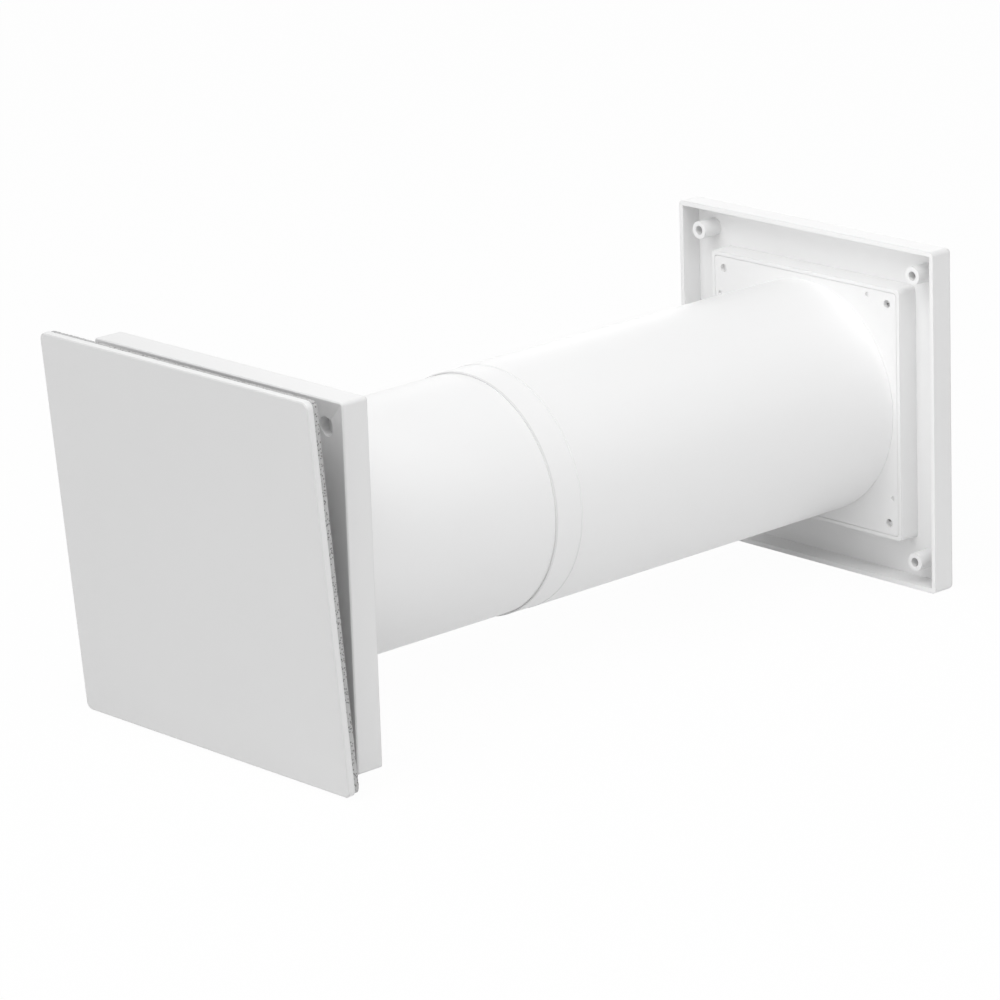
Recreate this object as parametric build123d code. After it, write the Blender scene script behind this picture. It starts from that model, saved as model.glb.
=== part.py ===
from build123d import *
import os

# Through-wall air vent: a tilting panel on a room frame, a telescopic round duct and a weather cover.
# Millimetres. X to the right seen from the room, +Y through the wall to the outside, +Z up.
# The origin is the centre of the room frame on the room's wall plane.

# Wall and duct
WALL_THICKNESS = 318.0
DUCT_DROP = 6.0
INNER_TUBE_RADIUS = 50.8
INNER_TUBE_LENGTH = 185.0
TUBE_WALL = 0.8
SLIP_FIT = 0.1
OUTER_TUBE_LENGTH = 199.0
MOUTH_BAND = 14.2
MOUTH_STEP = 0.2

# Flange plates and their spigots
FLANGE_WIDTH = 108.0
FLANGE_THICKNESS = 2.0
FLANGE_CORNER = 1.5
FLANGE_FIT = 0.1
SPIGOT_LENGTH = 25.0
SPIGOT_WALL = 2.0
SPIGOT_FIT = 0.15
SPIGOT_LEAD = 0.8
FLANGE_HOLE_SPACING = 97.5
FLANGE_HOLE_RADIUS = 1.75
PIN_HOLE_RADIUS = 1.0
PIN_HOLE_ALONG = 11.5
PIN_HOLE_OUTWARD = 2.4
PIN_HOLE_DEPTH = 0.8

# Wall screws of the frame and of the cover
SCREW_SPACING = 127.0
SCREW_HOLE_RADIUS = 2.0
BOSS_RADIUS = 4.0
HEAD_RECESS_RADIUS = 4.0
HEAD_RECESS_FLOOR = 6.5
HEAD_RECESS_WALL = 1.6

# Room frame
FRAME_WIDTH = 150.0
FRAME_DEPTH = 12.5
FRAME_WALL = 2.2
FRAME_FACE = 2.0
FRAME_CORNER = 1.5
FRAME_EDGE = 0.5
DISH_LAND = 0.8
DISH_WIDTH = 20.0
DISH_DEPTH = 3.2

# Round cup of the frame, its ledge and the filter in it
CUP_RADIUS = 60.0
CUP_WALL = 2.0
LEDGE_THICKNESS = 2.0
LEDGE_BORE_RADIUS = 47.5
FILTER_THICKNESS = 4.7
FILTER_FIT = 0.4
FILTER_SEAT_GAP = 0.3

# Front panel and felt
PANEL_WIDTH = 162.0
PANEL_THICKNESS = 3.0
PANEL_CORNER = 3.0
PANEL_EDGE = 0.5
PANEL_RISE = 1.6
PANEL_GAP = 5.3
REST_TILT = 4.6
FELT_INSET = 0.4
FELT_THICKNESS = 2.6
FELT_CUT_GAP = 0.5
PEG_RADIUS = 2.5
PEG_SPACING = 80.0
PEG_BELOW_EDGE = 13.0
PEG_STOP_GAP = 0.3

# Panel hinge
HINGE_SPACING = 90.0
HINGE_FROM_WALL = 7.5
HINGE_ABOVE_EDGE = 8.0
PIN_RADIUS = 1.5
PIN_PRESS_GAP = 0.02
PIN_RUNNING_GAP = 0.05
ARM_THICKNESS = 4.0
ARM_EYE_RADIUS = 3.4
ARM_ROOT_RISE = 3.5
ARM_SIDE_GAP = 0.4
EAR_THICKNESS = 3.0
EAR_RADIUS = 3.6
ARM_SLOT_PLAY = 1.8

# Weather cover
COVER_WIDTH = 151.0
COVER_DEPTH = 12.0
COVER_WALL = 2.2
COVER_FACE = 2.2
COVER_CORNER = 2.0
COVER_EDGE = 2.2
BOX_WALL = 1.8
BOX_DRAFT = 2.0
SEAT_WALL = 2.0
SEAT_STEP = 2.0
POST_RADIUS = 3.2
BLADE_COUNT = 8
BLADE_THICKNESS = 1.6
BLADE_RISE = 6.8
BLADE_SETBACK = 0.6

# Insect screen
SCREEN_THICKNESS = 0.8
SCREEN_FIT = 0.3
SCREEN_PLAY = 0.1
SCREEN_BORDER = 3.0
SCREEN_CELLS = 7
SCREEN_BAR = 1.4

# Sizes that follow from the ones above
outer_tube_bore = INNER_TUBE_RADIUS + SLIP_FIT
outer_tube_radius = outer_tube_bore + TUBE_WALL
outer_tube_start = WALL_THICKNESS - OUTER_TUBE_LENGTH
flange_pocket = FLANGE_WIDTH + 2 * FLANGE_FIT
box_width = flange_pocket + 2 * BOX_WALL
ledge_front = -FLANGE_THICKNESS - LEDGE_THICKNESS
frame_inside = FRAME_WIDTH - 2 * FRAME_WALL
dish_slope = DISH_DEPTH / DISH_WIDTH
dish_outer = FRAME_WIDTH - 2 * DISH_LAND
dish_inner = dish_outer - 2 * DISH_WIDTH
dish_floor = -FRAME_DEPTH + DISH_DEPTH
face_shoulder = -FRAME_DEPTH + FRAME_FACE + dish_slope * (FRAME_WALL - DISH_LAND)
felt_back = -FRAME_DEPTH - PANEL_GAP
panel_back = felt_back - FELT_THICKNESS
panel_front = panel_back - PANEL_THICKNESS
hinge_y = -HINGE_FROM_WALL
hinge_z = -FRAME_WIDTH / 2 + HINGE_ABOVE_EDGE
hinge_axis = Axis((0, hinge_y, hinge_z), (1, 0, 0))
peg_z = FRAME_WIDTH / 2 - PEG_BELOW_EDGE
peg_stop = -FRAME_DEPTH + dish_slope * (PEG_BELOW_EDGE - PEG_RADIUS - DISH_LAND)
cover_face_back = WALL_THICKNESS + COVER_DEPTH - COVER_FACE
seat_back = WALL_THICKNESS + FLANGE_THICKNESS
seat_step_back = seat_back + SCREEN_THICKNESS + 2 * SCREEN_PLAY
seat_outside = FLANGE_HOLE_SPACING + 2 * SEAT_WALL
seat_inside = seat_outside - 2 * SEAT_WALL
window = seat_inside - 2 * SEAT_STEP
screen_width = seat_inside - 2 * SCREEN_FIT


def prism(outline, start, end):
    """Carry an outline drawn in X and Z through the wall direction from start to end."""
    return extrude(Plane.XZ.offset(-end) * outline, amount=end - start)


def crosswise(outline, start, end):
    """Carry an outline drawn in Y and Z sideways from start to end."""
    return extrude(Plane.YZ.offset(start) * outline, amount=end - start)


def square(width, corner=0.0):
    """Square outline with its corners rounded where a radius is given."""
    return RectangleRounded(width, width, corner) if corner else Rectangle(width, width)


def on_duct(outline):
    """Move an outline from the frame's centre to the duct's axis."""
    return Pos(0, -DUCT_DROP) * outline


def pattern(spacing, outline):
    """Four copies of an outline at the corners of a square."""
    return Sketch() + [place * outline for place in GridLocations(spacing, spacing, 2, 2)]


def ring(outer, inner):
    """Round ring on the duct's axis."""
    return on_duct(Circle(outer) - Circle(inner))


def hinge_disc(radius):
    """Disc on the panel's hinge axis."""
    return Pos(hinge_y, hinge_z) * Circle(radius)


def inner_tube():
    """Room-side duct tube, from the wall plane into the outer tube."""
    return prism(ring(INNER_TUBE_RADIUS, INNER_TUBE_RADIUS - TUBE_WALL), 0, INNER_TUBE_LENGTH)


def outer_tube():
    """Weather-side duct tube with a band turned down a little at its mouth."""
    tube = prism(ring(outer_tube_radius, outer_tube_bore), outer_tube_start, WALL_THICKNESS)
    band = ring(outer_tube_radius + 1, outer_tube_radius - MOUTH_STEP)
    return tube - prism(band, outer_tube_start, outer_tube_start + MOUTH_BAND)


def flange(plate_start, spigot_radius, outward):
    """Square plate with a spigot for a tube end; outward is 1 where the spigot points outside, else -1."""
    plate_end = plate_start + FLANGE_THICKNESS
    spigot_root = plate_end if outward > 0 else plate_start
    spigot_tip = spigot_root + outward * SPIGOT_LENGTH
    body = prism(on_duct(square(FLANGE_WIDTH, FLANGE_CORNER)), plate_start, plate_end)
    spigot = prism(on_duct(Circle(spigot_radius)), *sorted((spigot_root, spigot_tip)))
    tip = spigot.faces().sort_by(Axis.Y)[-1 if outward > 0 else 0]
    body += chamfer(tip.edges(), SPIGOT_LEAD)
    bore = on_duct(Circle(spigot_radius - SPIGOT_WALL))
    return body - prism(bore, *sorted((plate_end if outward < 0 else plate_start, spigot_tip)))


def room_flange():
    """Flange held between the frame's ledge and the wall, with its spigot in the inner tube."""
    return flange(-FLANGE_THICKNESS, INNER_TUBE_RADIUS - TUBE_WALL - SPIGOT_FIT, 1)


def weather_flange():
    """Flange screwed into the back of the weather cover, with its spigot in the outer tube."""
    screw_holes = pattern(FLANGE_HOLE_SPACING, Circle(FLANGE_HOLE_RADIUS))
    half = FLANGE_HOLE_SPACING / 2
    pin_hole = Pos(half - PIN_HOLE_ALONG, half + PIN_HOLE_OUTWARD) * Circle(PIN_HOLE_RADIUS)
    pin_holes = Sketch() + [Rot(0, 0, 90 * turn) * pin_hole for turn in range(4)]
    plate = flange(WALL_THICKNESS, outer_tube_bore - SPIGOT_FIT, -1)
    plate -= prism(on_duct(screw_holes), WALL_THICKNESS, seat_back)
    return plate - prism(on_duct(pin_holes), WALL_THICKNESS, WALL_THICKNESS + PIN_HOLE_DEPTH)


def frustum(front_width, back_width, front, back):
    """Square block that narrows evenly from its front plane to its back plane."""
    inset = (front_width - back_width) / 2
    rest = front_width - inset
    block = Wedge(front_width, back - front, front_width, inset, inset, rest, rest)
    return Pos(0, (front + back) / 2, 0) * block


def hinge_ears():
    """Two pairs of ears behind the frame's face, each pair round one arm of the panel."""
    root = Pos((hinge_y - FRAME_DEPTH) / 2, hinge_z) * Rectangle(FRAME_DEPTH + hinge_y, 2 * EAR_RADIUS)
    outline = hinge_disc(EAR_RADIUS) + root - hinge_disc(PIN_RADIUS + PIN_PRESS_GAP)
    near = ARM_THICKNESS / 2 + ARM_SIDE_GAP
    far = near + EAR_THICKNESS
    centres = (-HINGE_SPACING / 2, HINGE_SPACING / 2)
    return [crosswise(outline, x + a, x + b) for x in centres for a, b in ((-far, -near), (near, far))]


def arm_slots():
    """Slots in the frame's face through which the panel's arms reach their pins."""
    slot = Rectangle(ARM_THICKNESS + 2 * ARM_SIDE_GAP, 2 * ARM_EYE_RADIUS + 2 * ARM_SLOT_PLAY)
    slots = Sketch() + [place * slot for place in GridLocations(HINGE_SPACING, 1, 2, 1)]
    return prism(Pos(0, hinge_z) * slots, -FRAME_DEPTH, hinge_y)


def room_frame():
    """Shell against the room wall: dished face, filter cup, flange box, screw bosses and hinge ears."""
    body = prism(square(FRAME_WIDTH, FRAME_CORNER), -FRAME_DEPTH, 0)
    body = chamfer(body.faces().sort_by(Axis.Y)[0].edges(), FRAME_EDGE)
    body -= prism(square(frame_inside), face_shoulder, 0)
    body += frustum(frame_inside, dish_inner, face_shoulder, dish_floor + FRAME_FACE)
    body += prism(on_duct(Circle(CUP_RADIUS + CUP_WALL)), -FRAME_DEPTH, -FLANGE_THICKNESS)
    body += prism(on_duct(square(box_width, BOX_WALL)), ledge_front, 0)
    body += prism(pattern(SCREW_SPACING, Circle(HEAD_RECESS_RADIUS + HEAD_RECESS_WALL)), -FRAME_DEPTH, 0)
    body += hinge_ears()
    body -= frustum(dish_outer, dish_inner, -FRAME_DEPTH, dish_floor)
    body -= arm_slots()
    body -= prism(on_duct(Circle(CUP_RADIUS)), -FRAME_DEPTH, ledge_front)
    body -= prism(on_duct(square(flange_pocket, FLANGE_CORNER)), -FLANGE_THICKNESS, 0)
    body -= prism(on_duct(Circle(LEDGE_BORE_RADIUS)), ledge_front, 0)
    body -= prism(pattern(SCREW_SPACING, Circle(HEAD_RECESS_RADIUS)), -FRAME_DEPTH, -HEAD_RECESS_FLOOR)
    return body - prism(pattern(SCREW_SPACING, Circle(SCREW_HOLE_RADIUS)), -FRAME_DEPTH, 0)


def filter_pad():
    """Round filter in the frame's cup, just in front of its ledge."""
    back = ledge_front - FILTER_SEAT_GAP
    return prism(on_duct(Circle(CUP_RADIUS - FILTER_FIT)), back - FILTER_THICKNESS, back)


def hinge_pin(side):
    """Plain pin through one arm of the panel and the ears beside it; side is -1 or 1."""
    half_length = ARM_THICKNESS / 2 + ARM_SIDE_GAP + EAR_THICKNESS
    centre = side * HINGE_SPACING / 2
    return crosswise(hinge_disc(PIN_RADIUS), centre - half_length, centre + half_length)


def arm_outline():
    """Side view of a hinge arm on the closed panel: an eye, and a web that rises to the panel."""
    low = hinge_z - ARM_EYE_RADIUS
    high = hinge_z + ARM_EYE_RADIUS
    root = [(panel_back, low + ARM_ROOT_RISE), (panel_back, high + ARM_ROOT_RISE)]
    corners = [(hinge_y, low), *root, (hinge_y, high)]
    return make_face(Polyline(corners, close=True)) + hinge_disc(ARM_EYE_RADIUS)


def pegs(radius):
    """Outlines of the two stop pegs, opposite the upper part of the frame's face."""
    return Pos(0, peg_z) * (Sketch() + [place * Circle(radius) for place in GridLocations(PEG_SPACING, 1, 2, 1)])


def tilted(solid):
    """Turn a piece of the closed panel to its rest position, with the top out."""
    return solid.rotate(hinge_axis, REST_TILT)


def front_panel():
    """Flat panel with a bevelled front edge, two hinge arms and two stop pegs."""
    panel = prism(Pos(0, PANEL_RISE) * square(PANEL_WIDTH, PANEL_CORNER), panel_front, panel_back)
    panel = chamfer(panel.faces().sort_by(Axis.Y)[0].edges(), PANEL_EDGE)
    outline = arm_outline() - hinge_disc(PIN_RADIUS + PIN_RUNNING_GAP)
    for centre in (-HINGE_SPACING / 2, HINGE_SPACING / 2):
        panel += crosswise(outline, centre - ARM_THICKNESS / 2, centre + ARM_THICKNESS / 2)
    panel += prism(pegs(PEG_RADIUS), panel_back, peg_stop - PEG_STOP_GAP)
    return tilted(panel)


def panel_felt():
    """Felt sheet on the back of the panel, cut out round the arms and pegs."""
    outline = square(PANEL_WIDTH - 2 * FELT_INSET, PANEL_CORNER - FELT_INSET)
    felt = prism(Pos(0, PANEL_RISE) * outline, panel_back, felt_back)
    arm_lean = ARM_ROOT_RISE * FELT_THICKNESS / (hinge_y - panel_back)
    arm_height = 2 * ARM_EYE_RADIUS + arm_lean
    slot = Rectangle(ARM_THICKNESS + 2 * FELT_CUT_GAP, arm_height + 2 * FELT_CUT_GAP)
    slots = Sketch() + [place * slot for place in GridLocations(HINGE_SPACING, 1, 2, 1)]
    felt -= prism(Pos(0, hinge_z + ARM_ROOT_RISE - arm_lean / 2) * slots, panel_back, felt_back)
    felt -= prism(pegs(PEG_RADIUS + FELT_CUT_GAP), panel_back, felt_back)
    return tilted(felt)


def louvre_blades():
    """Fixed blades across the cover's window, sloping down to the outside, one in each equal share."""
    pitch = window / BLADE_COUNT
    inner = seat_step_back + BLADE_SETBACK
    run = cover_face_back + COVER_FACE - BLADE_SETBACK - inner
    upright = BLADE_THICKNESS * (run ** 2 + BLADE_RISE ** 2) ** 0.5 / run
    margin = (pitch - BLADE_RISE - upright) / 2
    half_side = window / 2 + SEAT_STEP / 2
    corners = [(0, 0), (run, -BLADE_RISE), (run, -BLADE_RISE - upright), (0, -upright)]
    blades = []
    for index in range(BLADE_COUNT):
        top = window / 2 - DUCT_DROP - margin - index * pitch
        outline = Pos(inner, top) * make_face(Polyline(corners, close=True))
        blades.append(crosswise(outline, -half_side, half_side))
    return blades


def weather_cover():
    """Outside cover: rim, drafted box for the flange, screw bosses, screen seat and louvre blades."""
    outside = WALL_THICKNESS + COVER_DEPTH
    body = prism(on_duct(square(COVER_WIDTH, COVER_CORNER)), WALL_THICKNESS, outside)
    body = fillet(body.faces().sort_by(Axis.Y)[-1].edges(), COVER_EDGE)
    body -= prism(on_duct(square(COVER_WIDTH - 2 * COVER_WALL)), WALL_THICKNESS, cover_face_back)
    box = extrude(Plane.XZ.offset(-WALL_THICKNESS) * on_duct(square(box_width, BOX_WALL)),
                  amount=cover_face_back - WALL_THICKNESS, dir=(0, 1, 0), taper=-BOX_DRAFT)
    body += box - prism(on_duct(square(flange_pocket, FLANGE_CORNER)), WALL_THICKNESS, cover_face_back)
    body += prism(on_duct(square(seat_outside)), seat_back, cover_face_back)
    body += prism(on_duct(pattern(FLANGE_HOLE_SPACING, Circle(POST_RADIUS))), seat_back, cover_face_back)
    body += prism(on_duct(pattern(SCREW_SPACING, Circle(BOSS_RADIUS))), WALL_THICKNESS, cover_face_back)
    body -= prism(on_duct(square(seat_inside)), seat_back, seat_step_back)
    body -= prism(on_duct(square(window)), seat_step_back, outside)
    body += louvre_blades()
    return body - prism(on_duct(pattern(SCREW_SPACING, Circle(SCREW_HOLE_RADIUS))), WALL_THICKNESS, outside)


def insect_screen():
    """Square mesh that lies on the step of the cover's seat, behind the blades."""
    pitch = (screen_width - 2 * SCREEN_BORDER + SCREEN_BAR) / SCREEN_CELLS
    cell = Rectangle(pitch - SCREEN_BAR, pitch - SCREEN_BAR)
    cells = [place * cell for place in GridLocations(pitch, pitch, SCREEN_CELLS, SCREEN_CELLS)]
    start = seat_back + SCREEN_PLAY
    return prism(on_duct(square(screen_width) - cells), start, start + SCREEN_THICKNESS)


def main():
    """Write each piece of the vent to its own file."""
    pieces = {
        "front_panel": front_panel(),
        "panel_felt": panel_felt(),
        "hinge_pin_left": hinge_pin(-1),
        "hinge_pin_right": hinge_pin(1),
        "room_frame": room_frame(),
        "filter_pad": filter_pad(),
        "room_flange": room_flange(),
        "inner_tube": inner_tube(),
        "outer_tube": outer_tube(),
        "weather_flange": weather_flange(),
        "insect_screen": insect_screen(),
        "weather_cover": weather_cover(),
    }
    os.makedirs("parts", exist_ok=True)
    for name, solid in pieces.items():
        export_step(solid, f"parts/{name}.step")


main()
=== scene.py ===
"""Dressed model of a through-wall air vent: tilting panel, room frame, sliding duct and weather cover."""

import logging
from dataclasses import dataclass
from enum import Enum
from typing import Any, Mapping, Sequence, Union

import bmesh
import bpy
import numpy as np
from mathutils import Matrix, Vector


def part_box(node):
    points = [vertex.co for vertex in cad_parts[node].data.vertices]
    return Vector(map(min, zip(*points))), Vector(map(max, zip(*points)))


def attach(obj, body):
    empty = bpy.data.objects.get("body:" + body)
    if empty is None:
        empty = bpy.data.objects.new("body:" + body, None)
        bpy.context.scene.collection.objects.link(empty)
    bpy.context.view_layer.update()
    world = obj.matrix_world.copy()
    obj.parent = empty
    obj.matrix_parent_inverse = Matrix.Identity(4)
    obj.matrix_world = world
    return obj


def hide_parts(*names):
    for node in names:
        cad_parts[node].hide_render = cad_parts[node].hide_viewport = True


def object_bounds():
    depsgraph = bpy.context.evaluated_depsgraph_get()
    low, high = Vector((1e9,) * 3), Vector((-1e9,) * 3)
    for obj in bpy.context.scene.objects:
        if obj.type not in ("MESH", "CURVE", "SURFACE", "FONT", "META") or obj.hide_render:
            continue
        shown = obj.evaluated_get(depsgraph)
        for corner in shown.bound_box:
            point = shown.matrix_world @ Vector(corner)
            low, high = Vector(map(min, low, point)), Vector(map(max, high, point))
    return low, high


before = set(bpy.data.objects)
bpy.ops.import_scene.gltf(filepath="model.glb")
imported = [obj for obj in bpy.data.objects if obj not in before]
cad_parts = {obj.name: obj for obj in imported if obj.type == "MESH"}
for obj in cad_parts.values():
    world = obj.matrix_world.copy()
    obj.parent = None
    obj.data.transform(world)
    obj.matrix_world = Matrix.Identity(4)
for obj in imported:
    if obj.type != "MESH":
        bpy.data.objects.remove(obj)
CAD_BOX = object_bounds()

LOG = logging.getLogger("air_vent")
MM = 0.001
PHOTO_SIDE = 1000

# Shader values: the middle of a noise's range, and the rays that look for an edge to soften.
MID = 0.5
BEVEL_RAYS = 4

# Mesh values: points nearer than this are one point, and the corners of a square in order.
SAME_PLACE = 1e-7
SQUARE = np.array([[-1.0, -1.0], [1.0, -1.0], [1.0, 1.0], [-1.0, 1.0]])

# Ripples: the number of waves, the shortest and longest over the usual length, and a sum they seldom pass.
WAVES = 12
WAVE_LENGTHS = (0.6, 1.7)
WAVE_SUM = 4.0


class Body(str, Enum):
    """Bodies of the vent that move on their own."""

    ROOM_UNIT = "room_unit"
    PANEL = "panel"
    WEATHER_END = "weather_end"


class Shading(Enum):
    """How a new mesh is shaded."""

    FLAT = False
    SMOOTH = True


class Weave(Enum):
    """The two directions of wire in the insect screen, each with the side its first wire swings to."""

    ACROSS = 1.0
    UPRIGHT = -1.0


Number = Union[float, int]
Input = Union["Wire", Number, Sequence[float]]
Colour = tuple[float, float, float, float]
Grid = Union[np.ndarray, float]


@dataclass(frozen=True)
class Noise:
    """Cloudy noise: width of a cloud in metres, number of finer layers and their strength."""

    size: float
    detail: float = 2.0
    rough: float = 0.5


class Wire:
    """A socket of a shader tree; arithmetic on it adds Math nodes."""

    def __init__(self, shader: "Shader", socket: bpy.types.NodeSocket) -> None:
        """Keep the socket and the tree it belongs to."""
        self.shader = shader
        self.socket = socket

    def _math(self, operation: str, first: Input, second: Input) -> "Wire":
        """Result of one Math node on two values or wires."""
        return self.shader.node("ShaderNodeMath", {"operation": operation}, {0: first, 1: second})

    def __add__(self, other: Input) -> "Wire":
        """Sum."""
        return self._math("ADD", self, other)

    def __radd__(self, other: Input) -> "Wire":
        """Sum with a plain number on the left."""
        return self._math("ADD", other, self)

    def __sub__(self, other: Input) -> "Wire":
        """Difference."""
        return self._math("SUBTRACT", self, other)

    def __rsub__(self, other: Input) -> "Wire":
        """Difference from a plain number."""
        return self._math("SUBTRACT", other, self)

    def __mul__(self, other: Input) -> "Wire":
        """Product."""
        return self._math("MULTIPLY", self, other)

    def __rmul__(self, other: Input) -> "Wire":
        """Product with a plain number on the left."""
        return self._math("MULTIPLY", other, self)

    def __gt__(self, other: Input) -> "Wire":
        """One where this is the larger, else nought."""
        return self._math("GREATER_THAN", self, other)

    def __abs__(self) -> "Wire":
        """Size without its sign."""
        return self._math("ABSOLUTE", self, 0.0)

    def larger(self, other: Input) -> "Wire":
        """The larger of the two."""
        return self._math("MAXIMUM", self, other)


class Shader:
    """A material or world under construction."""

    def __init__(self, owner: Union[bpy.types.Material, bpy.types.World]) -> None:
        """Empty the owner's node tree and keep it.

        Args:
            owner: the material or world that the nodes belong to.
        """
        owner.use_nodes = True
        self.owner = owner
        self.tree = owner.node_tree
        self.tree.nodes.clear()

    def node(self, kind: str, settings: Mapping[str, Any], inputs: Mapping[Union[str, int], Input],
             outlet: Union[str, int] = 0) -> Wire:
        """Add a node, set it up and connect it.

        Args:
            kind: Blender's type name of the node.
            settings: the node's own properties, set before its sockets.
            inputs: a value or a wire for each named or numbered socket.
            outlet: name or number of the socket that is wanted.

        Returns:
            The wanted output, or the first input of a node that has no outputs.
        """
        made = self.tree.nodes.new(kind)
        for key, value in settings.items():
            setattr(made, key, value)
        for key, value in inputs.items():
            if isinstance(value, Wire):
                self.tree.links.new(value.socket, made.inputs[key])
            else:
                made.inputs[key].default_value = value
        return Wire(self, made.outputs[outlet] if made.outputs else made.inputs[0])

    def place(self, stretch: Sequence[float] = (1.0, 1.0, 1.0)) -> Wire:
        """Object coordinates, times a factor for each axis."""
        raw = self.node("ShaderNodeTexCoord", {}, {}, "Object")
        return self.node("ShaderNodeMapping", {}, {"Vector": raw, "Scale": stretch})

    def noise(self, vector: Wire, look: Noise) -> Wire:
        """Cloudy noise about the middle of its range, on coordinates in metres."""
        return self.node("ShaderNodeTexNoise", {"noise_dimensions": "3D"}, {
            "Vector": vector, "Scale": 1.0 / look.size, "Detail": look.detail, "Roughness": look.rough})

    def step(self, value: Wire, low: float, high: float) -> Wire:
        """Soft step from nought at low to one at high."""
        return self.node("ShaderNodeMapRange", {"interpolation_type": "SMOOTHSTEP"},
                         {"Value": value, "From Min": low, "From Max": high})

    def blend(self, factor: Wire, first: Input, second: Input) -> Wire:
        """Mix two colours: the first where the factor is nought, the second where it is one."""
        # The Mix node has several sockets of each name, so those for colours go by their numbers.
        return self.node("ShaderNodeMix", {"data_type": "RGBA"}, {0: factor, 6: first, 7: second}, 2)

    def waver(self, factor: Wire, tone: float, swing: float) -> Wire:
        """Linear grey that goes from a swing below its tone to a swing above it as the factor grows."""
        return self.blend(factor, plain_grey(tone - swing), plain_grey(tone + swing))

    def bump(self, height: Wire, depth: float, base: Union[Wire, None] = None) -> Wire:
        """Normals of a fine relief.

        Args:
            height: relief from nought to one.
            depth: depth of the relief in metres.
            base: normals that the relief lies on.

        Returns:
            The normals.
        """
        sockets: dict[Union[str, int], Input] = {"Height": height, "Distance": depth, "Strength": 1.0}
        if base is not None:
            sockets["Normal"] = base
        return self.node("ShaderNodeBump", {}, sockets)

    def seen(self) -> Wire:
        """Tell the rays that show the background directly, in gloss or through glass.

        Returns:
            One for such a ray, else nought.
        """
        kinds = ("Is Camera Ray", "Is Glossy Ray", "Is Transmission Ray")
        direct, gloss, glass = (self.node("ShaderNodeLightPath", {}, {}, kind) for kind in kinds)
        return direct.larger(gloss).larger(glass)

    def surface(self, **sockets: Input) -> None:
        """End the tree in a Principled surface.

        Args:
            sockets: values or wires; an underscore in a name stands for a space.
        """
        inputs = {name.replace("_", " "): value for name, value in sockets.items()}
        closure = self.node("ShaderNodeBsdfPrincipled", {}, inputs)
        self.node("ShaderNodeOutputMaterial", {}, {"Surface": closure})


def new_shader(name: str) -> Shader:
    """Start an empty material of that name."""
    return Shader(bpy.data.materials.new(name))


def plain_grey(tone: float) -> Colour:
    """Colour of a linear grey."""
    return (tone, tone, tone, 1.0)


@dataclass(frozen=True)
class MouldedPlastic:
    """Satin moulded plastic: faint cloudy tone, fine eroded grain and softened edges."""

    name: str
    tone: float = 0.84
    tone_swing: float = 0.012
    clouds: Noise = Noise(45 * MM, 3.0)
    cloud_gloss: float = 0.08
    roughness: float = 0.44
    grains: Noise = Noise(0.55 * MM, 2.0, 0.6)
    grain_gloss: float = 0.12
    grain_depth: float = 0.012 * MM
    edge: float = 0.45 * MM

    def colour(self, shader: Shader, place: Wire, cloud: Wire) -> Wire:
        """Tone that wavers with the clouds, the same all over."""
        return shader.waver(cloud, self.tone, self.tone_swing)

    def material(self) -> bpy.types.Material:
        """Build the material.

        Returns:
            The new material.
        """
        shader = new_shader(self.name)
        place = shader.place()
        cloud = shader.noise(place, self.clouds)
        grain = shader.noise(place, self.grains)
        soft = shader.node("ShaderNodeBevel", {"samples": BEVEL_RAYS}, {"Radius": self.edge})
        shader.surface(
            Base_Color=self.colour(shader, place, cloud),
            Roughness=self.roughness + (grain - MID) * self.grain_gloss + (cloud - MID) * self.cloud_gloss,
            Normal=shader.bump(grain, self.grain_depth, soft),
        )
        return shader.owner


@dataclass(frozen=True, kw_only=True)
class FrontShadedPlastic(MouldedPlastic):
    """White satin moulding whose front face is painted greyer, as painted shade for the weaker light from
    the front; the painted shade fades out along the moulding's edge.

    The front plane is given by the direction into the moulding and the plane's distance that way. The fade
    starts and ends at two depths behind it.
    """

    inward: tuple[float, float, float]
    front: float
    # Painted shade: the darker grey of the front face stands for the weaker light from the front.
    front_shade_tone: float = 0.645
    fade_start: float = 0.3 * MM
    fade_end: float = 0.6 * MM
    tone: float = 0.825
    tone_swing: float = 0.010
    roughness: float = 0.46
    edge: float = 0.4 * MM

    def colour(self, shader: Shader, place: Wire, cloud: Wire) -> Wire:
        """Painted shade on the front face as a darker grey, and white further in.

        Args:
            shader: the tree to add to.
            place: coordinates in metres.
            cloud: noise that both tones waver with.

        Returns:
            The colour.
        """
        sockets = {0: place, 1: self.inward}
        depth = shader.node("ShaderNodeVectorMath", {"operation": "DOT_PRODUCT"}, sockets, "Value")
        side = shader.step(depth, self.front + self.fade_start, self.front + self.fade_end)
        # Painted shade: the front face is a darker grey than the sides, for the weaker light from the front.
        face = shader.waver(cloud, self.front_shade_tone, self.tone_swing)
        return shader.blend(side, face, shader.waver(cloud, self.tone, self.tone_swing))


@dataclass(frozen=True)
class PaintedShadeLine:
    """Painted shade line round a tube: its place along the duct, half its width and its darker tone."""

    where: float
    reach: float
    tone: float


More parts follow.
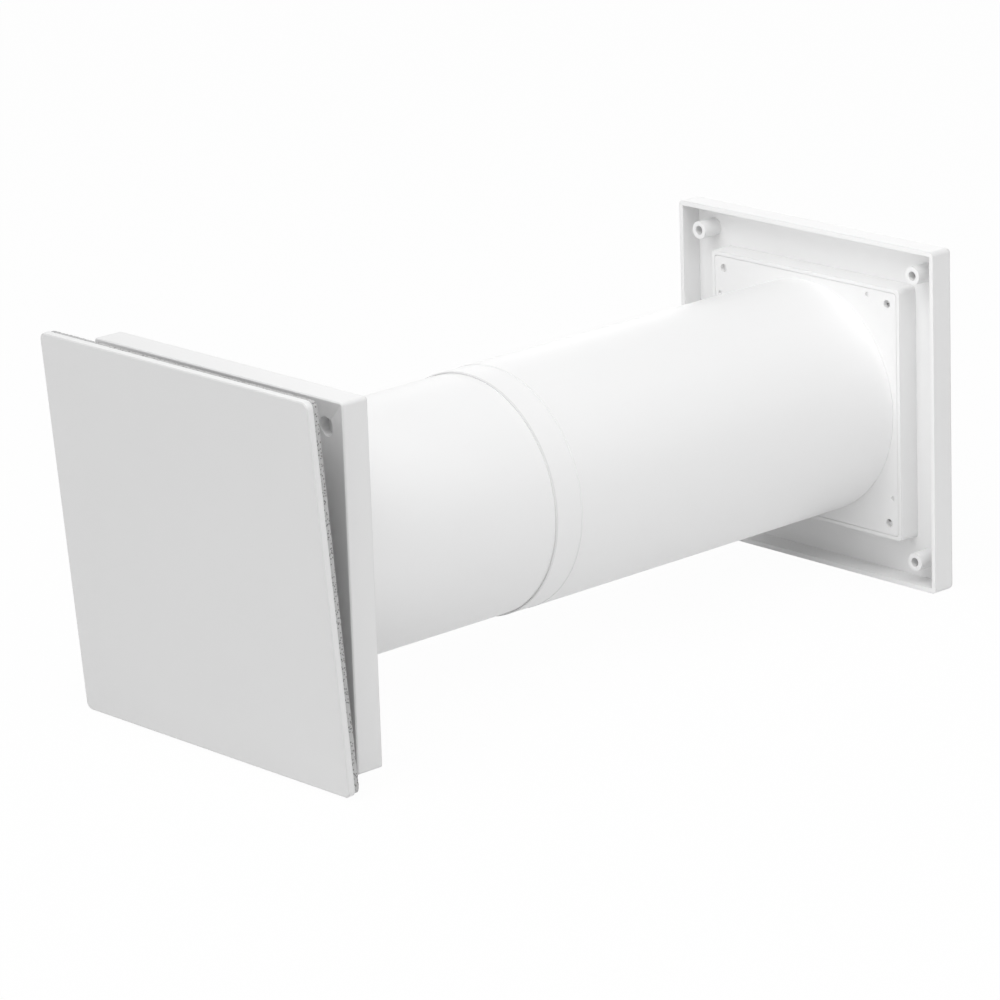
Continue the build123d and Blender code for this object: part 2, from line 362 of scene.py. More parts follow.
@dataclass(frozen=True)
class ExtrudedGloss:
    """Softly glossy drawn plastic: faint streaks along the tube, hazy gloss and painted shade in lines round
    the cut edges.
    """

    name: str
    edges: tuple[PaintedShadeLine, ...] = ()
    shade_core: float = 0.3
    tone: float = 0.94
    tone_swing: float = 0.006
    streaks: Noise = Noise(9.0 * MM)
    stretch: float = 0.03
    roughness: float = 0.45
    shine: float = 0.25
    haze: Noise = Noise(60 * MM)
    haze_gloss: float = 0.05

    def material(self) -> bpy.types.Material:
        """Build the material.

        Returns:
            The new material.
        """
        shader = new_shader(self.name)
        streak = shader.noise(shader.place((1.0, self.stretch, 1.0)), self.streaks)
        place = shader.place()
        haze = shader.noise(place, self.haze)
        along = shader.node("ShaderNodeSeparateXYZ", {}, {"Vector": place}, "Y")
        colour = shader.waver(streak, self.tone, self.tone_swing)
        # Painted shade: each line round the tube is a darker grey, standing for shade at the lip and the
        # step.
        for edge in self.edges:
            near = shader.step(abs(along - edge.where), edge.reach, self.shade_core * edge.reach)
            colour = shader.blend(near, colour, plain_grey(edge.tone))
        shader.surface(
            Base_Color=colour,
            Roughness=self.roughness + (haze - MID) * self.haze_gloss,
            Specular_IOR_Level=self.shine,
        )
        return shader.owner


@dataclass(frozen=True)
class PressedFelt:
    """Grey pressed felt: matted fibres in paler and darker patches, with scattered ragged dark specks."""

    name: str
    tone: float = 0.54
    tone_swing: float = 0.16
    fibres: Noise = Noise(0.5 * MM, 4.0, 0.65)
    fibre_depth: float = 0.2 * MM
    patches: Noise = Noise(5 * MM)
    patch_share: float = 0.3
    speck_tone: float = 0.20
    speck_cell: float = 0.95 * MM
    speck_share: float = 0.5
    speck_rag: float = 0.5
    speck_rim: float = 0.46
    speck_core: float = 0.26
    roughness: float = 0.9
    fibre_gloss: float = 0.15

    def material(self) -> bpy.types.Material:
        """Build the material.

        Returns:
            The new material.
        """
        shader = new_shader(self.name)
        place = shader.place()
        mat = shader.noise(place, self.fibres)
        patch = shader.noise(place, self.patches)
        cells = {"Vector": place, "Scale": 1.0 / self.speck_cell, "Randomness": 1.0}
        spot = shader.node("ShaderNodeTexVoronoi", {"feature": "F1"}, cells, "Distance")
        pick = shader.node("ShaderNodeTexVoronoi", {"feature": "F1"}, cells, "Color")
        chance = shader.node("ShaderNodeSeparateColor", {}, {"Color": pick}, "Red")
        ragged = spot + (mat - MID) * self.speck_rag
        speck = shader.step(ragged, self.speck_rim, self.speck_core) * (chance > self.speck_share)
        mixed = mat * (1.0 - self.patch_share) + patch * self.patch_share
        ground = shader.waver(mixed, self.tone, self.tone_swing)
        shader.surface(
            Base_Color=shader.blend(speck, ground, plain_grey(self.speck_tone)),
            Roughness=self.roughness + (mat - MID) * self.fibre_gloss,
            Normal=shader.bump(mat, self.fibre_depth),
        )
        return shader.owner


@dataclass(frozen=True)
class FibreMat:
    """Lofty white fibre mat: crossing strands, with painted shade in the small pores between them."""

    name: str
    tone: float = 0.82
    pore_shade_tone: float = 0.55
    pore_floor: float = 0.36
    pore_rim: float = 0.6
    strands: Noise = Noise(1.1 * MM, 4.0, 0.7)
    stretch: float = 0.22
    depth: float = 0.5 * MM
    roughness: float = 0.88
    strand_gloss: float = 0.12

    def material(self) -> bpy.types.Material:
        """Build the material.

        Returns:
            The new material.
        """
        shader = new_shader(self.name)
        upright = shader.noise(shader.place((1.0, 1.0, self.stretch)), self.strands)
        across = shader.noise(shader.place((self.stretch, 1.0, 1.0)), self.strands)
        loft = upright.larger(across)
        solid = shader.step(loft, self.pore_floor, self.pore_rim)
        shader.surface(
            # Painted shade: the pores are coloured darker, as the shade inside them.
            Base_Color=shader.blend(solid, plain_grey(self.pore_shade_tone), plain_grey(self.tone)),
            Roughness=self.roughness + (loft - MID) * self.strand_gloss,
            Normal=shader.bump(loft, self.depth),
        )
        return shader.owner


@dataclass(frozen=True)
class DrawnSteel:
    """Plain drawn steel with fine lines along the pin."""

    name: str
    tone: float = 0.58
    tone_swing: float = 0.05
    lines: Noise = Noise(0.2 * MM, 3.0)
    stretch: float = 0.05
    line_depth: float = 0.01 * MM
    roughness: float = 0.32
    line_gloss: float = 0.2

    def material(self) -> bpy.types.Material:
        """Build the material.

        Returns:
            The new material.
        """
        shader = new_shader(self.name)
        line = shader.noise(shader.place((self.stretch, 1.0, 1.0)), self.lines)
        shader.surface(
            Base_Color=shader.waver(line, self.tone, self.tone_swing),
            Metallic=1.0,
            Roughness=self.roughness + (line - MID) * self.line_gloss,
            Normal=shader.bump(line, self.line_depth),
        )
        return shader.owner


@dataclass(frozen=True)
class CoatedWire:
    """Grey coated mesh wire, paler and darker in patches, with a fine grain."""

    name: str
    tone: float = 0.42
    tone_swing: float = 0.05
    patches: Noise = Noise(6 * MM, 3.0)
    grains: Noise = Noise(0.3 * MM)
    grain_depth: float = 0.01 * MM
    roughness: float = 0.5
    grain_gloss: float = 0.2

    def material(self) -> bpy.types.Material:
        """Build the material.

        Returns:
            The new material.
        """
        shader = new_shader(self.name)
        place = shader.place()
        patch = shader.noise(place, self.patches)
        grain = shader.noise(place, self.grains)
        shader.surface(
            Base_Color=shader.waver(patch, self.tone, self.tone_swing),
            Roughness=self.roughness + (grain - MID) * self.grain_gloss,
            Normal=shader.bump(grain, self.grain_depth),
        )
        return shader.owner


Finish = Union[MouldedPlastic, ExtrudedGloss, PressedFelt, FibreMat, DrawnSteel, CoatedWire]


def middle_and_size(node: str) -> tuple[np.ndarray, np.ndarray]:
    """Middle and size of a CAD node's box."""
    low, high = (np.array(corner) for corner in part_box(node))
    return (low + high) / 2, high - low


def as_points(x: Grid, y: Grid, z: Grid) -> np.ndarray:
    """One line of three coordinates for each place of three grids."""
    return np.stack(np.broadcast_arrays(x, y, z), axis=-1).reshape(-1, 3)


def grid_quads(rows: int, columns: int, close_rows: bool, close_columns: bool) -> np.ndarray:
    """Corner numbers of the four-sided faces on a grid of points.

    Args:
        rows: points along the first parameter.
        columns: points along the second parameter.
        close_rows: whether the last row joins the first.
        close_columns: whether the last column joins the first.

    Returns:
        One line of four numbers for each face.
    """
    row = np.arange(rows if close_rows else rows - 1)[:, None]
    column = np.arange(columns if close_columns else columns - 1)[None, :]
    next_row = (row + 1) % rows
    next_column = (column + 1) % columns
    corners = [row * columns + column, row * columns + next_column,
               next_row * columns + next_column, next_row * columns + column]
    return np.stack(corners, axis=-1).reshape(-1, 4)


def rounded_loop(corners: np.ndarray, radii: np.ndarray, steps: int) -> np.ndarray:
    """Closed outline with its corners rounded by arcs.

    Each arc touches both sides that meet in its corner. Its middle lies on the line that halves the angle,
    at the radius over the sine of the half angle, and its points turn evenly from one side to the other.

    Args:
        corners: one point in two coordinates for each corner, in order.
        radii: rounding of each corner.
        steps: points on each arc.

    Returns:
        The points of the outline.
    """
    back = np.roll(corners, 1, axis=0) - corners
    ahead = np.roll(corners, -1, axis=0) - corners
    back /= np.linalg.norm(back, axis=1, keepdims=True)
    ahead /= np.linalg.norm(ahead, axis=1, keepdims=True)
    half = np.arccos(np.clip((back * ahead).sum(axis=1), -1.0, 1.0)) / 2
    middle_way = back + ahead
    middle_way /= np.linalg.norm(middle_way, axis=1, keepdims=True)
    centre = corners + middle_way * (radii / np.sin(half))[:, None]
    side = np.sign(back[:, 0] * ahead[:, 1] - back[:, 1] * ahead[:, 0])
    turn = (np.pi / 2 - half)[:, None] * np.linspace(1.0, -1.0, steps)[None, :] * side[:, None]
    spoke = -middle_way * radii[:, None]
    arc = np.stack([spoke[:, :1] * np.cos(turn) - spoke[:, 1:] * np.sin(turn),
                    spoke[:, :1] * np.sin(turn) + spoke[:, 1:] * np.cos(turn)], axis=-1)
    return (centre[:, None, :] + arc).reshape(-1, 2)


def even_loop(outline: np.ndarray, step: float) -> np.ndarray:
    """Closed outline with its points spread evenly: places at equal lengths along it, between its corners.

    Args:
        outline: points of the outline.
        step: wanted distance between points.

    Returns:
        The new points.
    """
    closed = np.concatenate([outline, outline[:1]])
    length = np.concatenate([[0.0], np.cumsum(np.linalg.norm(np.diff(closed, axis=0), axis=1))])
    place = np.linspace(0.0, length[-1], int(length[-1] / step), endpoint=False)
    return np.stack([np.interp(place, length, axis) for axis in closed.T], axis=1)


def held_loop(outline: np.ndarray, hold: float) -> np.ndarray:
    """Closed outline with two more points on each side, near its ends.

    They keep the smooth shading of a turned outline inside its corners.

    Args:
        outline: points of the outline.
        hold: distance of the new points from the ends, at most a quarter of the side.

    Returns:
        Three times as many points.
    """
    side = np.roll(outline, -1, axis=0) - outline
    near = np.minimum(0.25, hold / np.maximum(np.linalg.norm(side, axis=1), SAME_PLACE))
    share = np.stack([np.zeros_like(near), near, 1.0 - near], axis=1)
    return (outline[:, None, :] + side[:, None, :] * share[:, :, None]).reshape(-1, 2)


def turned(reach: np.ndarray, middle: np.ndarray, segments: int) -> tuple[np.ndarray, np.ndarray]:
    """Places across and up of points that are turned round a line along the duct.

    Each is the middle plus the point's distance from the line, times the cosine or sine of the turn.

    Args:
        reach: distance of each point from the line.
        middle: a point on the line.
        segments: number of turns in the round.

    Returns:
        The places across and the places up, with a row for each turn.
    """
    angle = np.linspace(0.0, 2 * np.pi, segments, endpoint=False)[:, None]
    return middle[0] + reach[None, :] * np.cos(angle), middle[2] + reach[None, :] * np.sin(angle)


def ripple(across: np.ndarray, up: np.ndarray, size: float, seed: int) -> np.ndarray:
    """Smooth uneven waves: the sum of plane waves with set directions, lengths and starts.

    Args:
        across: first coordinate in metres.
        up: second coordinate in metres.
        size: usual length of a wave in metres.
        seed: number that sets the waves.

    Returns:
        Heights from about minus one to one.
    """
    chance = np.random.default_rng(seed)
    way = chance.uniform(0.0, 2 * np.pi, WAVES)
    pace = 2 * np.pi / (size * chance.uniform(*WAVE_LENGTHS, WAVES))
    start = chance.uniform(0.0, 2 * np.pi, WAVES)
    phase = (across[..., None] * np.cos(way) + up[..., None] * np.sin(way)) * pace + start
    return np.sin(phase).sum(axis=-1) / WAVE_SUM


def close_poles(mesh: bpy.types.Mesh) -> None:
    """Join the points of a grid that fall on one place, so that its poles become fans of triangles.

    Args:
        mesh: the mesh to change.
    """
    work = bmesh.new()
    work.from_mesh(mesh)
    bmesh.ops.remove_doubles(work, verts=work.verts, dist=SAME_PLACE)
    work.to_mesh(mesh)
    work.free()


def new_piece(name: str, points: np.ndarray, faces: np.ndarray, shading: Shading) -> bpy.types.Object:
    """Put a worked-out surface into a mesh object at the origin.

    Args:
        name: name of the piece.
        points: places in metres, one line each.
        faces: corner numbers, one line for each face.
        shading: flat or smooth.

    Returns:
        The new object.
    """
    mesh = bpy.data.meshes.new(name)
    mesh.vertices.add(len(points))
    mesh.vertices.foreach_set("co", np.asarray(points, np.float32).ravel())
    sides = faces.shape[1]
    mesh.loops.add(faces.size)
    mesh.loops.foreach_set("vertex_index", faces.astype(np.int32).ravel())
    mesh.polygons.add(len(faces))
    mesh.polygons.foreach_set("loop_start", np.arange(0, faces.size, sides, dtype=np.int32))
    mesh.polygons.foreach_set("use_smooth", np.full(len(faces), shading.value))
    mesh.update(calc_edges=True)
    mesh.validate()
    close_poles(mesh)
    piece = bpy.data.objects.new(name, mesh)
    bpy.context.scene.collection.objects.link(piece)
    return piece


def dress(piece: bpy.types.Object, finish: Finish) -> bpy.types.Object:
    """Give a piece one finish all over.

    Args:
        piece: a new piece or a CAD node's object.
        finish: its finish, whose material is made the first time.

    Returns:
        The piece.
    """
    found = bpy.data.materials.get(finish.name)
    piece.data.materials.clear()
    piece.data.materials.append(found or finish.material())
    return piece


def settle(piece: bpy.types.Object, body: Body, node: str) -> bpy.types.Object:
    """Let a new piece ride on its body in place of a CAD node.

    Args:
        piece: the new piece.
        body: the body it moves with.
        node: the node that it stands for.

    Returns:
        The piece.
    """
    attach(piece, body.value)
    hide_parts(node)
    return piece


@dataclass
class TiltPanel:
    """Panel that tilts out at the top, and the felt glued to its back."""

    tilt: float = np.radians(4.6)
    hinge: tuple[float, float] = (-7.5 * MM, -67.0 * MM)
    panel_front: float = -23.4 * MM
    felt_side: float = 161.2 * MM
    felt_corner: float = 2.6 * MM
    felt_thickness: float = 2.6 * MM
    felt_front: float = -20.4 * MM
    felt_rise: float = 1.6 * MM
    felt_step: float = 0.8 * MM
    corner_points: int = 9
    face_rings: int = 14
    face_reach: float = 0.97
    border_rings: int = 4
    border_start: float = 0.985
    edge_rings: int = 5
    edge_margin: float = 0.12
    edge_inset: float = 0.12 * MM
    fuzz: float = 0.10 * MM
    face_wave: float = 3.0 * MM
    face_seed: int = 11
    edge_wave: float = 1.4 * MM
    edge_drift: float = 4 * MM
    edge_seed: int = 12
    felt_finish: PressedFelt = PressedFelt("felt_speckled_grey")

    def tilted(self, points: np.ndarray) -> np.ndarray:
        """Turn points of the closed panel about the hinge, by the rest tilt, so that the top leans out.

        Args:
            points: places on the closed panel, one line each.

        Returns:
            The places at rest.
        """
        along, high = self.hinge
        y, z = points[:, 1] - along, points[:, 2] - high
        cos, sin = np.cos(self.tilt), np.sin(self.tilt)
        return np.stack([points[:, 0], along + y * cos - z * sin, high + y * sin + z * cos], axis=1)

    def plastic(self) -> FrontShadedPlastic:
        """Finish of the panel, with its painted front-face shade on the tilted front plane.

        Returns:
            The finish.
        """
        along, high = self.hinge
        inward = (0.0, float(np.cos(self.tilt)), float(np.sin(self.tilt)))
        front = self.panel_front - along + along * inward[1] + high * inward[2]
        # The front face of this finish carries painted shade.
        return FrontShadedPlastic("panel_satin_white_front_shade", inward=inward, front=front)

    def felt(self) -> bpy.types.Object:
        """Felt sheet: a rounded square outline drawn in towards its middle on both faces.

        The second parameter runs from the middle of the front face out to the cut edge, across the edge's
        thickness and back to the middle of the rear face. Its share is the part of the outline's size, and
        its level goes from nought on the front face to one on the rear. Small uneven waves roughen the rear
        face and the cut edge, and the edge is drawn in a little.

        Returns:
            The felt piece.
        """
        half = self.felt_side / 2
        square = rounded_loop(SQUARE * half, np.full(len(SQUARE), self.felt_corner), self.corner_points)
        outline = even_loop(square, self.felt_step)
        face = np.concatenate([np.linspace(0.0, self.face_reach, self.face_rings),
                               np.linspace(self.border_start, 1.0, self.border_rings)])
        edge = np.linspace(self.edge_margin, 1.0 - self.edge_margin, self.edge_rings)
        share = np.concatenate([face, np.ones_like(edge), face[::-1]])[None, :]
        level = np.concatenate([np.zeros_like(face), edge, np.ones_like(face)])[None, :]
        x, z = outline[:, :1] * share, outline[:, 1:] * share
        rough = ripple(x, z, self.face_wave, self.face_seed)
        ragged = ripple(x, z + level * self.edge_drift, self.edge_wave, self.edge_seed) * (share >= 1.0)
        shrink = 1.0 - (self.edge_inset + self.fuzz * ragged) * (share > self.face_reach) / half
        y = self.felt_front + self.felt_thickness * level - (level >= 1.0) * self.fuzz * (rough + 1)
        points = as_points(x * shrink, y, z * shrink + self.felt_rise)
        faces = grid_quads(len(outline), share.size, True, False)
        piece = new_piece("felt_sheet", self.tilted(points), faces, Shading.SMOOTH)
        dress(piece, self.felt_finish)
        settle(piece, Body.PANEL, "panel_felt")
        return piece

    def build(self) -> list[bpy.types.Object]:
        """Dress the panel and make the felt."""
        return [dress(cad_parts["front_panel"], self.plastic()), self.felt()]


@dataclass
class RoomUnit:
    """Room frame with its hinge pins, flange and filter."""

    filter_segments: int = 180
    filter_rings: int = 40
    rim_rings: int = 9
    soft_edge: float = 1.4 * MM
    loft: float = 0.22 * MM
    loft_press: float = 1.7
    loft_wave: float = 6 * MM
    loft_seed: int = 21
    plastic: MouldedPlastic = MouldedPlastic("frame_satin_white", 0.83)
    steel: DrawnSteel = DrawnSteel("pin_drawn_steel")
    mat: FibreMat = FibreMat("filter_fibre_mat")

    def filter(self) -> bpy.types.Object:
        """Filter disc: rings round the duct's axis, from the middle of one face over the rim to the other.

        The rim is half an ellipse, and both faces are pressed in a little, unevenly, by waves.

        Returns:
            The filter piece.
        """
        middle, size = middle_and_size("filter_pad")
        radius, half = size[0] / 2, size[1] / 2
        flat = np.linspace(0.0, 1.0, self.filter_rings) * (radius - self.soft_edge)
        bend = np.linspace(-np.pi / 2, np.pi / 2, self.rim_rings + 2)[1:-1]
        rim = radius - self.soft_edge * (1 - np.cos(bend))
        out = np.concatenate([flat, rim, flat[::-1]])
        level = np.concatenate([-np.ones_like(flat), np.sin(bend), np.ones_like(flat)])[None, :]
        x, z = turned(out, middle, self.filter_segments)
        waves = ripple(x, z, self.loft_wave, self.loft_seed)
        lift = (waves - self.loft_press) * self.loft * (np.abs(level) >= 1.0)
        y = middle[1] + half * level + np.sign(level) * lift
        faces = grid_quads(self.filter_segments, len(out), True, False)
        piece = new_piece("filter_mat", as_points(x, y, z), faces, Shading.SMOOTH)
        dress(piece, self.mat)
        settle(piece, Body.ROOM_UNIT, "filter_pad")
        return piece

    def build(self) -> list[bpy.types.Object]:
        """Dress the frame, flange and pins, and make the filter.

        Returns:
            The pieces.
        """
        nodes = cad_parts
        mouldings = [dress(nodes[name], self.plastic) for name in ("room_frame", "room_flange")]
        pins = [dress(nodes[name], self.steel) for name in ("hinge_pin_left", "hinge_pin_right")]
        return [*mouldings, *pins, self.filter()]


@dataclass
class Duct:
    """Two round tubes that slide in one another."""

    wall: float = 0.8 * MM
    lip: float = 0.3 * MM
    mouth_round: float = 0.12 * MM
    small_round: float = 0.05 * MM
    band_length: float = 14.2 * MM
    band_step: float = 0.2 * MM
    step_slope: float = 0.5
    arc_points: int = 6
    hold: float = 0.3 * MM
    segments: int = 320
    # Painted shade lines on the outer tube: half width and darker tone at the mouth, then at the step.
    mouth_shade_reach: float = 1.2 * MM
    mouth_shade_tone: float = 0.80
    step_shade_reach: float = 0.5 * MM
    step_shade_tone: float = 0.845

    def cut_sizes(self, node: str) -> tuple[float, float, float, float]:
        """Near end, far end, inside radius and outside radius of a tube.

        Args:
            node: the tube's CAD node.

        Returns:
            The four sizes in metres.
        """
        low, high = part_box(node)
        outside = (high[0] - low[0]) / 2
        return low[1], high[1], outside - self.wall, outside

    def tube(self, name: str, node: str, body: Body, corners: np.ndarray, radii: np.ndarray,
             gloss: ExtrudedGloss) -> bpy.types.Object:
        """Tube: its cut outline, with the lips rounded, turned round the duct's axis.

        Args:
            name: name of the piece.
            node: the node it stands for.
            body: the body it moves with.
            corners: radius and place along the duct of each corner of the cut.
            radii: rounding of each corner.
            gloss: its finish.

        Returns:
            The tube piece.
        """
        middle, _ = middle_and_size(node)
        outline = held_loop(rounded_loop(corners, radii, self.arc_points), self.hold)
        x, z = turned(outline[:, 0], middle, self.segments)
        faces = grid_quads(self.segments, len(outline), True, True)
        piece = new_piece(name, as_points(x, outline[None, :, 1], z), faces, Shading.SMOOTH)
        dress(piece, gloss)
        return settle(piece, body, node)

    def inner(self) -> bpy.types.Object:
        """Inner tube: a plain wall with both lips rounded.

        Returns:
            The tube piece.
        """
        near, far, inside, outside = self.cut_sizes("inner_tube")
        cut = np.array([[inside, near], [outside, near], [outside, far], [inside, far]])
        radii = np.full(len(cut), self.lip)
        gloss = ExtrudedGloss("tube_gloss_white")
        return self.tube("inner_duct", "inner_tube", Body.ROOM_UNIT, cut, radii, gloss)

    def outer(self) -> bpy.types.Object:
        """Outer tube: a wall that is turned down to a band at its mouth, with a sloped step behind the band,
        and painted shade lines at the mouth and the step.

        Returns:
            The tube piece.
        """
        near, far, inside, outside = self.cut_sizes("outer_tube")
        band, end = outside - self.band_step, near + self.band_length
        top = end + self.step_slope * self.band_step
        cut = np.array([[inside, near], [band, near], [band, end],
                        [outside, top], [outside, far], [inside, far]])
        small = self.small_round
        radii = np.array([small, self.mouth_round, small, small, self.lip, self.lip])
        # Painted shade: darker grey lines at the mouth and at the step stand for the shade there.
        mouth = PaintedShadeLine(near, self.mouth_shade_reach, self.mouth_shade_tone)
        step = PaintedShadeLine(end, self.step_shade_reach, self.step_shade_tone)
        gloss = ExtrudedGloss("tube_gloss_white_shade_lines", (mouth, step))
        return self.tube("outer_duct", "outer_tube", Body.WEATHER_END, cut, radii, gloss)

    def build(self) -> list[bpy.types.Object]:
        """Make both tubes."""
        return [self.inner(), self.outer()]


@dataclass
class WeatherEnd:
    """Weather cover with its flange and woven insect screen."""

    wires: int = 44
    wire_corners: int = 4
    wire_radius: float = 0.16 * MM
    wire_inset: float = 1.2
    border: float = 3.0 * MM
    rim_round: float = 0.6
    rim_arc_points: int = 4
    plastic: MouldedPlastic = MouldedPlastic("cover_satin_white", 0.877)
    coating: CoatedWire = CoatedWire("screen_coated_grey")

    def wire_set(self, weave: Weave, span: float, middle: np.ndarray) -> np.ndarray:
        """Points of all wires that run one way.

        A wire's middle line is a cosine wave over and under the crossing wires, and neighbours start half a
        wave apart. Round it stand the corners of a square.

        Args:
            weave: direction of the wires.
            span: length of a wire.
            middle: middle of the screen.

        Returns:
            Points in the order wire, place along it, corner.
        """
        pitch = span / self.wires
        number = np.arange(self.wires)
        rank = (number + 0.5) * pitch - span / 2
        along = np.linspace(-span / 2, span / 2, 2 * self.wires + 1)
        phase = np.pi * (along + span / 2) / pitch - np.pi / 2
        flip = np.where(number % 2, -1.0, 1.0) * weave.value
        swing = flip[:, None] * np.sin(phase)[None, :] * self.wire_radius
        corner = np.arange(self.wire_corners) * 2 * np.pi / self.wire_corners
        shape = (self.wires, len(along), self.wire_corners)
        run = np.broadcast_to(along[None, :, None], shape)
        aside = np.broadcast_to(rank[:, None, None] + self.wire_radius * np.cos(corner), shape)
        depth = middle[1] + swing[:, :, None] + self.wire_radius * np.sin(corner)
        x, z = (run, aside) if weave is Weave.ACROSS else (aside, run)
        return np.stack([middle[0] + x, depth, middle[2] + z], axis=-1)

    def mesh(self) -> bpy.types.Object:
        """Woven wires of the screen, over and under one another, with both ends of each wire closed.

        Returns:
            The mesh piece.
        """
        middle, size = middle_and_size("insect_screen")
        span = size[0] - self.wire_inset * self.border
        sets = np.stack([self.wire_set(weave, span, middle) for weave in Weave])
        rings = sets.shape[2]
        count = rings * self.wire_corners
        ring = np.arange(self.wire_corners)
        caps = np.stack([ring[::-1], count - self.wire_corners + ring])
        quads = np.concatenate([grid_quads(rings, self.wire_corners, False, True), caps])
        shift = np.arange(len(Weave) * self.wires)[:, None, None] * count
        faces = (quads[None, :, :] + shift).reshape(-1, 4)
        # The two sets are mirror images, so the faces of the first set are turned round to point outwards.
        first_set = len(faces) // 2
        faces[:first_set] = faces[:first_set, ::-1]
        piece = new_piece("screen_mesh", sets.reshape(-1, 3), faces, Shading.SMOOTH)
        dress(piece, self.coating)
        return settle(piece, Body.WEATHER_END, "insect_screen")

    def rim(self) -> bpy.types.Object:
        """Edge strip of the screen: a rounded strip section carried round a square.

        Returns:
            The rim piece.
        """
        middle, size = middle_and_size("insect_screen")
        thick = size[1] / 2
        strip = np.array([[-self.border, -thick], [0.0, -thick], [0.0, thick], [-self.border, thick]])
        section = rounded_loop(strip, np.full(len(strip), self.rim_round * thick), self.rim_arc_points)
        reach = size[0] / 2 + section[None, :, 0]
        x = middle[0] + SQUARE[:, :1] * reach
        z = middle[2] + SQUARE[:, 1:] * reach
        faces = grid_quads(len(SQUARE), len(section), True, True)
        y = middle[1] + section[None, :, 1]
        piece = new_piece("screen_rim", as_points(x, y, z), faces, Shading.FLAT)
        dress(piece, self.coating)
        return settle(piece, Body.WEATHER_END, "insect_screen")

    def build(self) -> list[bpy.types.Object]:
        """Dress the cover and flange, and make the screen.

        Returns:
            The pieces.
        """
        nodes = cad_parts
        mouldings = [dress(nodes[name], self.plastic) for name in ("weather_cover", "weather_flange")]
        return [*mouldings, self.mesh(), self.rim()]


def stand(name: str, data: bpy.types.ID, axes: Sequence[np.ndarray], place: np.ndarray) -> bpy.types.Object:
    """Put a lamp or camera into the scene.

    Args:
        name: name of the object.
        data: the lamp or camera.
        axes: its directions right, up and back.
        place: where it stands.

    Returns:
        The new object.
    """
    matrix = np.eye(4)
    matrix[:3] = np.stack([*axes, place], axis=1)
    holder = bpy.data.objects.new(name, data)
    holder.matrix_world = Matrix(matrix.tolist())
    bpy.context.scene.collection.objects.link(holder)
    return holder


@dataclass(frozen=True)
class SoftBox:
    """Square area lamp: the place of its middle, its width in metres and its output in watts."""

    name: str
    place: tuple[float, float, float]
    side: float
    power: float

    def hang(self, aim: Sequence[float]) -> None:
        """Put the lamp into the scene.

        Args:
            aim: the point it faces.
        """
        lamp = bpy.data.lights.new(self.name, "AREA")
        lamp.shape = "SQUARE"
        lamp.size = self.side
        lamp.energy = self.power
        back = np.array(self.place) - np.array(aim)
        back /= np.linalg.norm(back)
        right = np.cross((0.0, 0.0, 1.0), back)
        right /= np.linalg.norm(right)
        stand(self.name, lamp, (right, np.cross(back, right), back), np.array(self.place))


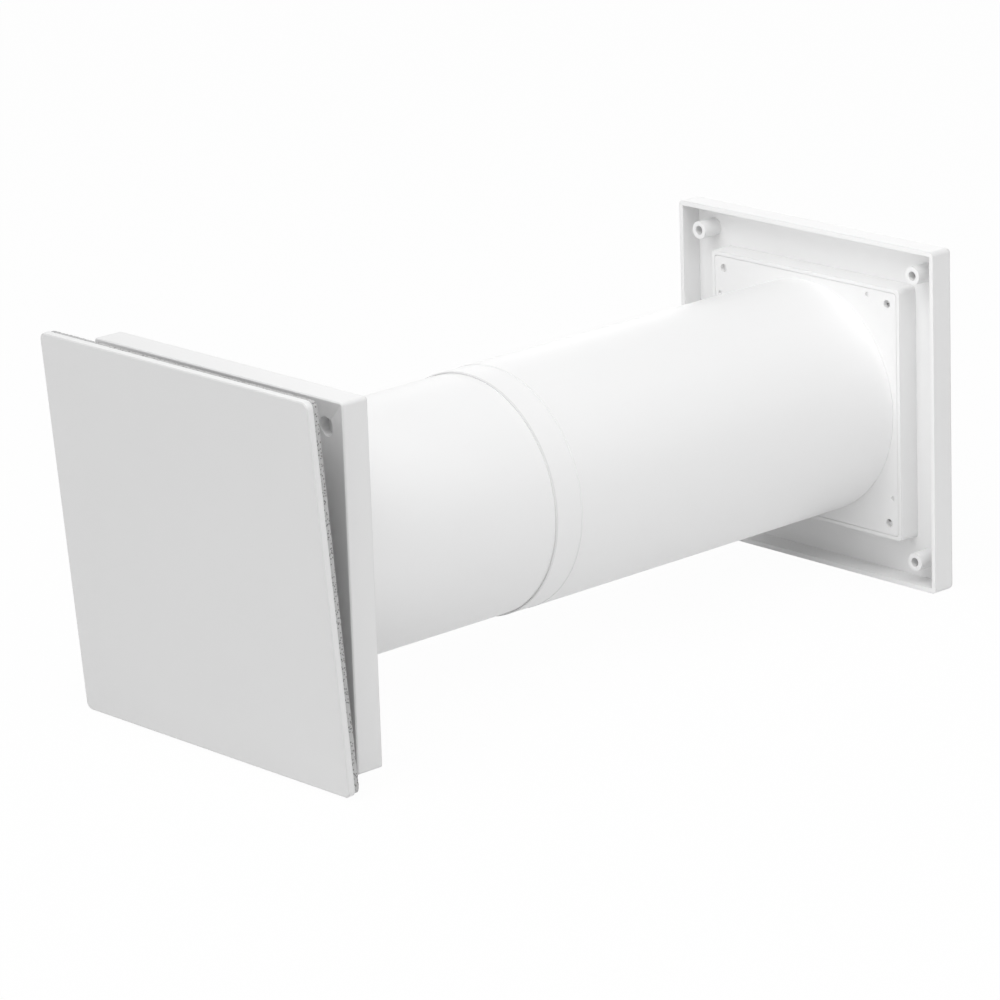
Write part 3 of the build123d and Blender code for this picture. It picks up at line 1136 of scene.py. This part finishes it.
@dataclass
class Studio:
    """Pale floor, soft light and the camera."""

    floor_side: float = 14.0
    floor_points: int = 9
    floor_tone: float = 0.88
    floor_glow: float = 0.97
    ambient: float = 0.462
    lamp_aim: tuple[float, float, float] = (0.0, 0.2, 0.0)
    lamps: tuple[SoftBox, ...] = (
        SoftBox("front_key", (0.3, -4.0, 0.9), 2.0, 35.0),
        SoftBox("high_front", (0.0, -1.5, 2.0), 1.5, 12.6),
        SoftBox("over_front", (0.0, -0.35, 0.95), 0.6, 1.8),
        SoftBox("over_right", (0.7, 0.0, 0.9), 0.6, 3.2),
        SoftBox("right_fill", (1.2, 0.0, 0.35), 0.6, 0.2),
        SoftBox("rear_fill", (-2.4, 3.2, 0.5), 1.6, 15.5),
    )
    sensor_width: float = 36.0
    clip_near: float = 0.05
    clip_far: float = 50.0
    focal_pixels: float = 5144.7
    azimuth: float = np.radians(47.521)
    elevation: float = np.radians(16.775)
    roll: float = np.radians(-1.961)
    distance: float = 2192.3 * MM
    target: tuple[float, float, float] = (-48.53 * MM, 180.0 * MM, -31.95 * MM)

    def world(self) -> None:
        """White surroundings that light the vent evenly and show as white."""
        made = bpy.data.worlds.new("soft_white")
        bpy.context.scene.world = made
        shader = Shader(made)
        fill = shader.node("ShaderNodeBackground", {}, {"Color": plain_grey(1.0), "Strength": self.ambient})
        shown = shader.node("ShaderNodeBackground", {}, {"Color": plain_grey(1.0), "Strength": 1.0})
        mixed = shader.node("ShaderNodeMixShader", {}, {0: shader.seen(), 1: fill, 2: shown})
        shader.node("ShaderNodeOutputWorld", {}, {"Surface": mixed})

    def floor(self) -> None:
        """Flat floor under the lowest point of the vent, nearly white but with the vent's shadow."""
        side = np.linspace(-self.floor_side / 2, self.floor_side / 2, self.floor_points)
        points = as_points(side[:, None], side[None, :], CAD_BOX[0][2])
        faces = grid_quads(self.floor_points, self.floor_points, False, False)[:, ::-1]
        piece = new_piece("floor", points, faces, Shading.FLAT)
        shader = new_shader("floor_white")
        matt = shader.node("ShaderNodeBsdfDiffuse", {}, {"Color": plain_grey(self.floor_tone)})
        glow = shader.node("ShaderNodeEmission", {}, {"Color": plain_grey(1.0), "Strength": 1.0})
        shown = shader.seen() * self.floor_glow
        mixed = shader.node("ShaderNodeMixShader", {}, {0: shown, 1: matt, 2: glow})
        shader.node("ShaderNodeOutputMaterial", {}, {"Surface": mixed})
        piece.data.materials.append(shader.owner)

    def camera(self) -> None:
        """Camera at the photograph's place, with its long lens."""
        lens = bpy.data.cameras.new("camera")
        lens.sensor_width = self.sensor_width
        lens.lens = self.focal_pixels / PHOTO_SIDE * lens.sensor_width
        lens.clip_start = self.clip_near
        lens.clip_end = self.clip_far
        back = np.array([np.sin(self.azimuth) * np.cos(self.elevation),
                         -np.cos(self.azimuth) * np.cos(self.elevation), np.sin(self.elevation)])
        level = np.array([np.cos(self.azimuth), np.sin(self.azimuth), 0.0])
        upright = np.cross(back, level)
        right = level * np.cos(self.roll) + upright * np.sin(self.roll)
        up = upright * np.cos(self.roll) - level * np.sin(self.roll)
        place = np.array(self.target) + back * self.distance
        bpy.context.scene.camera = stand("camera", lens, (right, up, back), place)

    def build(self) -> None:
        """Set up the surroundings, lamps and camera."""
        bpy.context.scene.view_settings.view_transform = "Standard"
        self.world()
        self.floor()
        for lamp in self.lamps:
            lamp.hang(self.lamp_aim)
        self.camera()


def main() -> None:
    """Build the sub-assemblies in order, then the studio round them."""
    logging.basicConfig(level=logging.INFO, format="%(name)s: %(message)s")
    for assembly in (TiltPanel(), RoomUnit(), Duct(), WeatherEnd()):
        for piece in assembly.build():
            LOG.info("%s: %s, %d faces", type(assembly).__name__, piece.name, len(piece.data.polygons))
    Studio().build()


if __name__ == "__main__":
    main()
